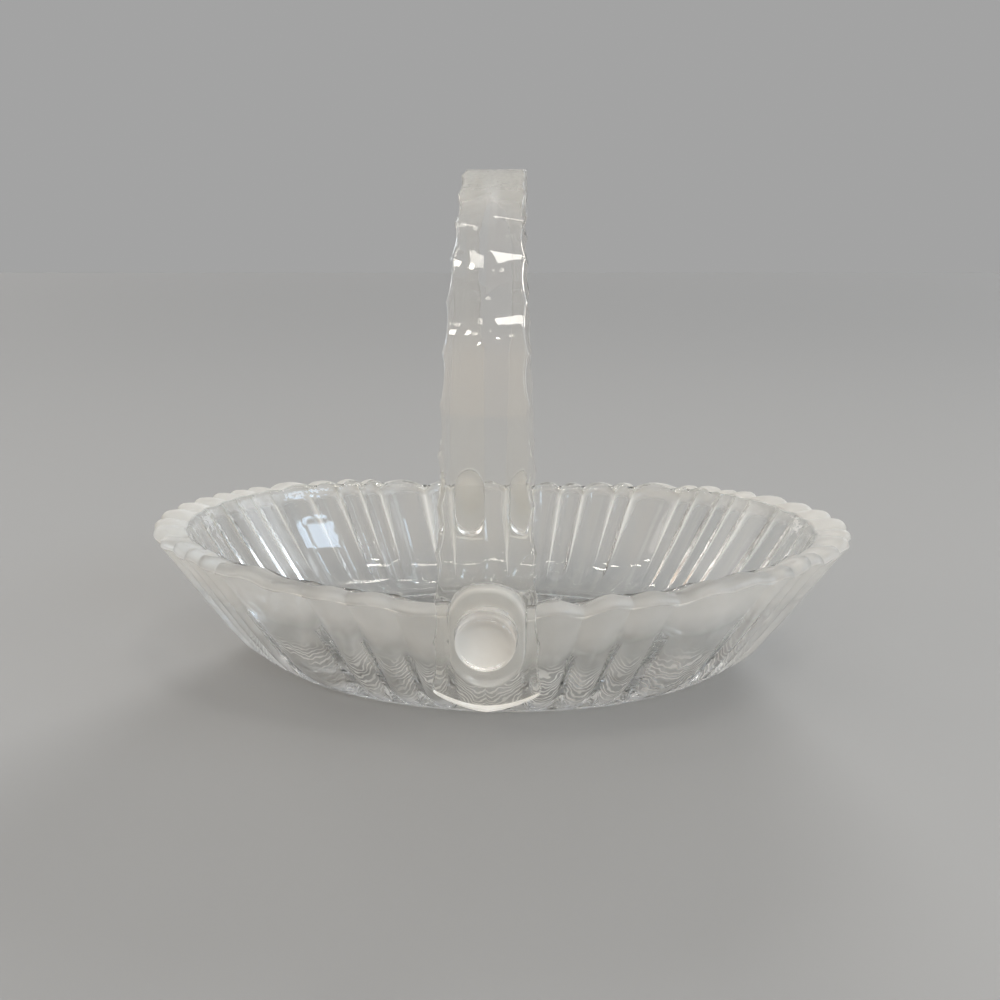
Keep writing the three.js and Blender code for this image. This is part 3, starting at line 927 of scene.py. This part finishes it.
def strap_rule(stations, section, step_length, material):
    """The strap as one skin: its section swept along an arch and two legs, its edges waved by the bumps."""
    tree, size = rule_tree("scalloped_strap", STRAP_SIZES)
    start = Term(tree)
    index = start.node("GeometryNodeInputIndex")
    rows = section + 1
    grid = start.node("GeometryNodeMeshGrid", sockets={"Vertices X": stations, "Vertices Y": rows})
    station = ((index + 0.5) / rows).maths("FLOOR")
    around = index - station * rows
    around = around - (around / section + 0.001).maths("FLOOR") * section

    def carried(name):
        value = start.node("GeometryNodeInputNamedAttribute", sockets={"Name": name})
        sampled = {"Geometry": size["Guide"], "Value": value, "Index": around}
        return start.node("GeometryNodeSampleIndex", sockets=sampled)

    # Length from the crest along the strap; the first and last station close the ends in their middle
    last = stations - 1
    closed = station.maths("COMPARE", 0.0, 0.5) + station.maths("COMPARE", float(last), 0.5)
    length = (station.maths("MAXIMUM", 1.0).maths("MINIMUM", float(last - 1)) - last / 2) * step_length
    gone = length.maths("ABSOLUTE")
    quarter = size["Arch Radius"] * (math.pi / 2)
    turn = gone.maths("MINIMUM", quarter) / size["Arch Radius"]
    down = (gone - quarter).maths("MAXIMUM", 0.0)
    side = length.maths("SIGN")

    taper = ((gone - size["Taper Start"]) / (full_length - size["Taper Start"])).clipped()
    between = (gone / size["Bump Pitch"] + 0.5).maths("FRACT")
    width = size["Width At Crest"] + (size["Width At End"] - size["Width At Crest"]) * taper
    half = width / 2 - size["Scallop Depth"] * 4 * between * (1 - between)

    kept = 1 - closed
    flat = 1 - gone.smooth(size["Flat Crest"], size["Full Ridge"])
    height = (carried("height") + carried("rise") * flat - size["Ridge"] / 2) * kept
    out = size["Arch Radius"] + height
    position = start.node("ShaderNodeCombineXYZ", sockets={
        "X": (carried("share") * half + carried("offset")) * kept * -1,
        "Y": out * turn.maths("SINE") * side * -1,
        "Z": size["Arch Height"] + out * turn.maths("COSINE") - down,
    })
    shape = start.node("GeometryNodeSetPosition", sockets={"Geometry": grid, "Position": position})
    close_rule(tree, [shape], material)
    return tree


def end_cut():
    """What the bowed cut takes from the foot of both legs."""
    half = STRAP_SIZES["Width At End"] / 2
    corner = end_low + END_BOW
    swing = math.asin(half / end_radius)
    turns = [-swing + 2 * swing * k / BOW_STEPS for k in range(BOW_STEPS + 1)]
    arc = [(end_radius * math.sin(t), end_low + end_radius * (1 - math.cos(t))) for t in turns]
    wide = half + CUT_ROOM
    low = end_low - 3 * CUT_ROOM
    outline = [(-wide, low), (-wide, corner), *arc, (wide, corner), (wide, low)]
    reach = strap_high.y + CUT_ROOM
    return lofted("end_cut", [[(x, y, z) for x, z in outline] for y in (-reach, reach)])


def peg_hole():
    """What the holes for the pegs take from both legs."""
    radius = peg_radius + HOLE_CLEARANCE
    turns = full_turn(PEG_POINTS)
    reach = strap_high.y + CUT_ROOM
    return lofted("peg_hole", [
        [(radius * math.cos(t), y, peg_height + radius * math.sin(t)) for t in turns] for y in (-reach, reach)
    ])


ACRYLIC_IOR = 1.49
ACRYLIC_LETS_THROUGH = 0.92
ACRYLIC_CLEAR = (0.985, 0.98, 0.965, 1)
# Painted light: the hazy tint partly paints the strap's sheen and the crest's reflection, and the end tint
# paints the glow at its cut ends
ACRYLIC_HAZE_AND_SHEEN = (0.9, 0.88, 0.82, 1)
ACRYLIC_END_GLOW = (0.95, 0.94, 0.91, 1)
CREST_SHEEN_HEIGHTS = (0.176, 0.2)
END_GLOW_REACH = (0.0001, 0.0005)


def clear_acrylic():
    """Clear moulded acrylic with fine scuffs, a painted sheen at the crest and a painted glow on the white
    ends.
    """
    material, start, surface = shader("clear_acrylic")
    place = start.node("ShaderNodeTexCoord", output="Object")
    flow = start.node("ShaderNodeTexNoise", sockets={"Vector": place, "Scale": 60.0, "Detail": 1.0})
    scuffs = start.node("ShaderNodeTexNoise", sockets={"Vector": place, "Scale": 700.0, "Detail": 4.0})
    rippled = start.node("ShaderNodeBump", sockets={"Strength": 0.05, "Distance": 0.0006, "Height": flow})
    clear = start.node("ShaderNodeBsdfPrincipled", sockets={
        "Base Color": ACRYLIC_CLEAR,
        "Roughness": 0.015 + scuffs.smooth(0.5, 0.75) * 0.06,
        "IOR": ACRYLIC_IOR,
        "Transmission Weight": 1.0,
        "Normal": rippled,
    })
    haze_and_sheen = start.node("ShaderNodeBsdfPrincipled", sockets={
        "Base Color": ACRYLIC_HAZE_AND_SHEEN,
        "Roughness": 0.3 + scuffs * 0.2,
        "IOR": ACRYLIC_IOR,
        "Transmission Weight": 0.6,
    })
    glowing_ends = start.node("ShaderNodeBsdfPrincipled", sockets={
        "Base Color": ACRYLIC_END_GLOW,
        "Roughness": 0.5 + scuffs * 0.2,
        "IOR": ACRYLIC_IOR,
        "Transmission Weight": 0.1,
    })

    # The haze is partly painted sheen, with a painted reflection of the ceiling as a band at the crest, and
    # the two ends are painted white as a glow of the light that the strap carries down to them
    height = start.node("ShaderNodeSeparateXYZ", sockets={0: place}, output="Z")
    haze_and_crest_sheen = 0.06 + height.smooth(*CREST_SHEEN_HEIGHTS) * (0.16 + scuffs * 0.2)
    moulded = start.node("ShaderNodeMixShader", sockets={0: haze_and_crest_sheen, 1: clear, 2: haze_and_sheen})
    x = height.beside("X")
    above_cut = height - end_low - end_radius + (end_radius**2 - x * x).maths("SQRT")
    end_glow = (1 - above_cut.smooth(*END_GLOW_REACH)) * 0.85
    mixed = start.node("ShaderNodeMixShader", sockets={0: end_glow, 1: moulded, 2: glowing_ends})
    surface(mixed, ACRYLIC_LETS_THROUGH)
    return material


acrylic = clear_acrylic()
section = strap_section()
step_length = STRAP_SIZES["Bump Pitch"] / STEPS_PER_BUMP
stations = 2 * math.floor(full_length / step_length) + 3
strap_tree = strap_rule(stations, len(section), step_length, acrylic)
strap_mesh = shaped(strap_tree, guide_mesh("strap_section", section), STRAP_SIZES)
for cut in (end_cut(), peg_hole()):
    strap_mesh = combined(strap_mesh, cut, "DIFFERENCE")
handle = finished_piece("acrylic_carry_handle", strap_mesh, STRAP_SHARP, acrylic)
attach(handle, "handle")
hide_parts("carry_handle")


# The stage is a plain pale floor, a soft studio sky with small lamps on a ceiling, and the camera where the
# photograph was taken from. None of it is part of the basket.

FLOOR_REACH = 40.0
FLOOR_LEVEL = -0.0003
FLOOR_COLOUR = (0.32, 0.32, 0.317, 1)
floor_mesh = bpy.data.meshes.new("floor")
floor_sides = ((-1, -1), (1, -1), (1, 1), (-1, 1))
floor_corners = [(x * FLOOR_REACH, y * FLOOR_REACH, FLOOR_LEVEL) for x, y in floor_sides]
floor_mesh.from_pydata(floor_corners, [], [(0, 1, 2, 3)])
floor_plane = bpy.data.objects.new("floor", floor_mesh)
bpy.context.scene.collection.objects.link(floor_plane)
floor_material, floor_start, floor_surface = shader("pale_floor")
floor_surface(floor_start.node("ShaderNodeBsdfPrincipled", sockets={
    "Base Color": FLOOR_COLOUR,
    "Roughness": 0.8,
}))
floor_mesh.materials.append(floor_material)

# Light levels of the sky, and where its parts start and end: their bearing in radians from straight behind,
# and their height as a share of straight up. A third number is how soft their edges are
BACKGROUND = 0.367
BACKDROP_ASIDE = (0.7, 1.2)
BACKDROP_TOP = (0.35, 0.8)
SKY_LOW = 0.05
SKY_GAIN = 0.56
SKY_RISE = (0.0, 0.9)
EDGE_STRIPS = 2.4
EDGE_STRIPS_ASIDE = (0.66, 0.84, 0.03)
EDGE_STRIPS_UP = (0.0, 0.55, 0.03)
LEFT_STRIP = 1.4
LEFT_STRIP_BEARING = (-2.0, -1.5, 0.08)
RIGHT_STRIP = 2.9
RIGHT_STRIP_BEARING = (1.5, 2.0, 0.08)
SIDE_STRIPS_UP = (0.05, 0.6, 0.05)
ROOM = 0.62
ROOM_ASIDE = (2.0, 2.5)
ROOM_TOP = (0.4, 0.8)
ROOM_WARMTH = 0.2
COOLER_TO_THE_RIGHT = 0.08
WINDOW = 9.0
WINDOW_TINT = (0.7, 0.9, 1.15)
NARROW_PANE_BEARING = (2.13, 2.21, 0.01)
WIDE_PANE_BEARING = (2.23, 2.43, 0.01)
PANES_UP = (0.32, 0.46, 0.01)


def studio_sky():
    """Soft light from above, a pale backdrop between two bright strips, a strip on the left and one on the
    right, and in front the glow of a warm room with a window.
    """
    world = bpy.data.worlds.new("studio")
    bpy.context.scene.world = world
    world.use_nodes = True
    world.node_tree.nodes.clear()
    start = Term(world.node_tree)
    direction = start.node("ShaderNodeTexCoord", output="Generated")
    x = start.node("ShaderNodeSeparateXYZ", sockets={0: direction})
    y = x.beside("Y")
    z = x.beside("Z")
    bearing = x.maths("ARCTAN2", y)
    aside = bearing.maths("ABSOLUTE")

    def between(term, low, high, soft):
        return term.smooth(low - soft, low + soft) * (1 - term.smooth(high - soft, high + soft))

    level = SKY_LOW + z.smooth(*SKY_RISE) * SKY_GAIN
    backdrop = (1 - aside.smooth(*BACKDROP_ASIDE)) * (1 - z.smooth(*BACKDROP_TOP))
    level = level + (BACKGROUND - level) * backdrop
    level = level + between(aside, *EDGE_STRIPS_ASIDE) * between(z, *EDGE_STRIPS_UP) * EDGE_STRIPS
    left = between(bearing, *LEFT_STRIP_BEARING) * LEFT_STRIP
    right = between(bearing, *RIGHT_STRIP_BEARING) * RIGHT_STRIP
    level = level + (left + right) * between(z, *SIDE_STRIPS_UP)
    room = aside.smooth(*ROOM_ASIDE) * (1 - z.smooth(*ROOM_TOP))
    level = level + room * ROOM
    panes = between(bearing, *NARROW_PANE_BEARING) + between(bearing, *WIDE_PANE_BEARING)
    window = panes * between(z, *PANES_UP) * WINDOW
    warmth = room * ROOM_WARMTH - x * COOLER_TO_THE_RIGHT
    colour = start.node("ShaderNodeCombineColor", sockets={
        "Red": level * (1 + warmth) + window * WINDOW_TINT[0],
        "Green": level + window * WINDOW_TINT[1],
        "Blue": level * (1 - warmth) + window * WINDOW_TINT[2],
    })
    seen = start.node("ShaderNodeLightPath", output="Is Camera Ray")
    plain = (BACKGROUND, BACKGROUND, BACKGROUND, 1)
    shown = start.node("ShaderNodeMix", {"data_type": "RGBA"}, {0: seen, 6: colour, 7: plain}, 2)
    glow = start.node("ShaderNodeBackground", sockets={"Color": shown})
    output = world.node_tree.nodes.new("ShaderNodeOutputWorld")
    world.node_tree.links.new(glow.socket, output.inputs["Surface"])


studio_sky()

# A low broad light from behind makes the etched glass glow, and isn't mirrored in the clear glass
BACK_LIGHT_AIM = Vector((-0.25, -1, -0.37))
back_light = bpy.data.lights.new("back_light", "SUN")
back_light.energy = 2.6
back_light.angle = math.radians(25)
back_holder = bpy.data.objects.new("back_light", back_light)
back_holder.rotation_euler = BACK_LIGHT_AIM.to_track_quat("-Z", "Y").to_euler()
back_holder.visible_glossy = False
back_holder.visible_transmission = False
bpy.context.scene.collection.objects.link(back_holder)

# Bars and spots on the ceiling, facing straight down: place along X and Y, length, width and power
CEILING = 1.5
LAMP_COLOUR = (1.0, 0.96, 0.89)
CEILING_LAMPS = (
    (0.345, 0.385, 0.21, 0.06, 0.3),
    (0.43, -0.216, 0.27, 0.2, 2.4),
    (0.67, -1.253, 0.42, 0.13, 2.8),
    (-0.592, 0.28, 0.05, 0.05, 0.03),
    (-0.46, 0.27, 0.05, 0.05, 0.03),
    (-0.704, -0.3, 0.06, 0.06, 0.3),
    (-0.539, -0.31, 0.06, 0.06, 0.3),
    (-1.123, -1.41, 0.09, 0.09, 0.6),
    (-0.85, -1.43, 0.09, 0.09, 0.6),
    (0.0, 0.25, 0.04, 0.04, 0.25),
    (0.16, -0.1, 0.04, 0.04, 0.25),
    (-0.18, -0.35, 0.04, 0.04, 0.25),
    (0.1, -0.6, 0.04, 0.04, 0.25),
    (-0.08, -0.85, 0.04, 0.04, 0.25),
    (0.18, -1.35, 0.09, 0.09, 0.8),
    (-0.2, -1.5, 0.09, 0.09, 0.8),
    (0.02, -1.7, 0.09, 0.09, 0.8),
    (-0.5, -1.65, 0.09, 0.09, 0.8),
    (-0.65, -1.2, 0.09, 0.09, 0.8),
    (0.45, -1.6, 0.09, 0.09, 0.8),
    (0.95, -1.6, 0.06, 0.06, 0.5),
    (-1.45, -1.7, 0.06, 0.06, 0.5),
)
for number, (x, y, length, width, power) in enumerate(CEILING_LAMPS):
    ceiling_light = bpy.data.lights.new(f"ceiling_lamp_{number}", "AREA")
    ceiling_light.shape = "RECTANGLE"
    ceiling_light.size = length
    ceiling_light.size_y = width
    ceiling_light.energy = power
    ceiling_light.color = LAMP_COLOUR
    ceiling_holder = bpy.data.objects.new(f"ceiling_lamp_{number}", ceiling_light)
    ceiling_holder.location = (x, y, CEILING)
    bpy.context.scene.collection.objects.link(ceiling_holder)

# The focal length is a share of the picture's width
FOCAL_LENGTH = 0.7513
CAMERA_PLACE = (0.01437, -0.31204, 0.16661)
CAMERA_PITCH = math.radians(17.07)
CAMERA_HEADING = math.radians(2.44)
camera_data = bpy.data.cameras.new("camera")
camera_data.sensor_width = 36
camera_data.lens = FOCAL_LENGTH * camera_data.sensor_width
camera_data.clip_start = 0.01
camera = bpy.data.objects.new("camera", camera_data)
camera.location = CAMERA_PLACE
camera.rotation_euler = (math.pi / 2 - CAMERA_PITCH, 0, CAMERA_HEADING)
bpy.context.scene.collection.objects.link(camera)
bpy.context.scene.camera = camera
bpy.context.scene.view_settings.view_transform = "Standard"
